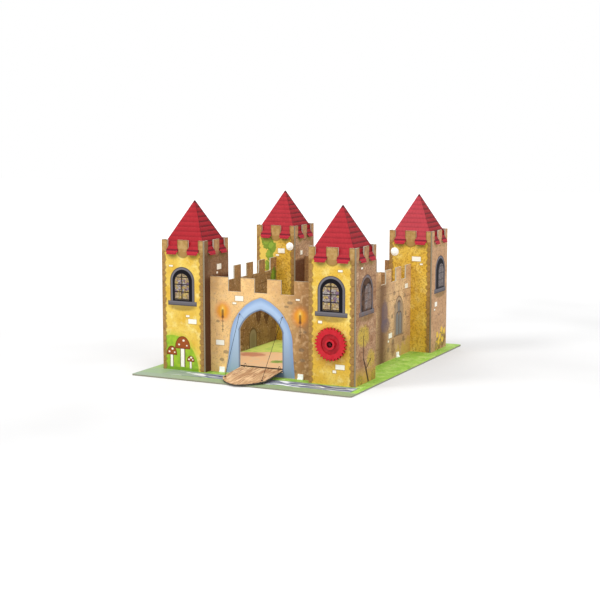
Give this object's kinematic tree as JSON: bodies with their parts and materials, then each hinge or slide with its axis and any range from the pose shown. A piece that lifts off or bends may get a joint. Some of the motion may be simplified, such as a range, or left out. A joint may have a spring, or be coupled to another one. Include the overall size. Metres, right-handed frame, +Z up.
{
  "type": "cardboard toy castle",
  "caption": "Card castle with square corner towers under red pyramid roofs, battlemented walls round a courtyard, and a drawbridge worked by a crank gear and strings.",
  "frame": {"origin": "middle of the base board's underside", "axes": "+Z up; +Y from the gate towards the back wall; +X to the right as seen from the gate"},
  "size_m": [0.336, 0.4363, 0.2412],
  "materials": {
    "tower_board": "satin printed board",
    "roof_card": "satin printed card",
    "wall_board": "satin printed board",
    "base_board": "satin printed board",
    "bridge_board": "satin printed board",
    "plain_board": "plain grey board",
    "black_string": "twisted string",
    "black_rod": "satin black",
    "white_plastic": "gloss white",
    "red_plastic": "gloss red",
    "crank_plastic": "matte red"
  },
  "bodies": {
    "castle": {"base_board": "base_board", "front_left_tower": "tower_board", "front_right_tower": "tower_board", "rear_left_tower": "tower_board", "rear_right_tower": "tower_board", "front_left_roof": "roof_card", "front_right_roof": "roof_card", "rear_left_roof": "roof_card", "rear_right_roof": "roof_card", "gate_wall": "wall_board", "back_wall": "wall_board", "left_wall": "wall_board", "right_wall": "wall_board", "hinge_rod": "black_rod", "rod_keeper_left": "plain_board", "rod_keeper_right": "plain_board", "bearing_plate": "plain_board", "bridge_string_left": "black_string", "bridge_string_right": "black_string", "winding_string_left": "black_string", "winding_string_right": "black_string", "corner_rivet_left": "white_plastic", "corner_rivet_right": "white_plastic", "rivet_washer_left": "white_plastic", "rivet_washer_right": "white_plastic", "gate_clip_left": "white_plastic", "gate_clip_right": "white_plastic", "back_clip_left": "white_plastic", "back_clip_right": "white_plastic", "left_clip_front": "white_plastic", "left_clip_rear": "white_plastic", "right_clip_front": "white_plastic", "right_clip_rear": "white_plastic"},
    "bridge": {"drawbridge": "bridge_board", "hinge_loop_left": "black_string", "hinge_loop_right": "black_string", "bridge_knot_left": "black_string", "bridge_knot_right": "black_string"},
    "crank": {"crank_gear": "red_plastic", "crank_axle": "crank_plastic", "string_spool": "crank_plastic", "front_collar": "crank_plastic", "rear_collar": "crank_plastic", "spool_winding": "black_string"}
  },
  "joints": [
    {"name": "drawbridge_lift", "type": "hinge", "parent": "castle", "child": "bridge", "pos_m": [0.0005, -0.1424, 0.013], "axis": [-1, 0, 0], "range_deg": [0, 96], "deforming": ["bridge_string_left", "bridge_string_right"]},
    {"name": "crank_turn", "type": "hinge", "parent": "castle", "child": "crank", "pos_m": [0.1157, -0.1607, 0.058], "axis": [0, -1, 0], "range_deg": [0, 670]}
  ],
  "couplings": [
    {"joint": "crank_turn", "follows": "drawbridge_lift", "ratio": 6.9174}
  ]
}
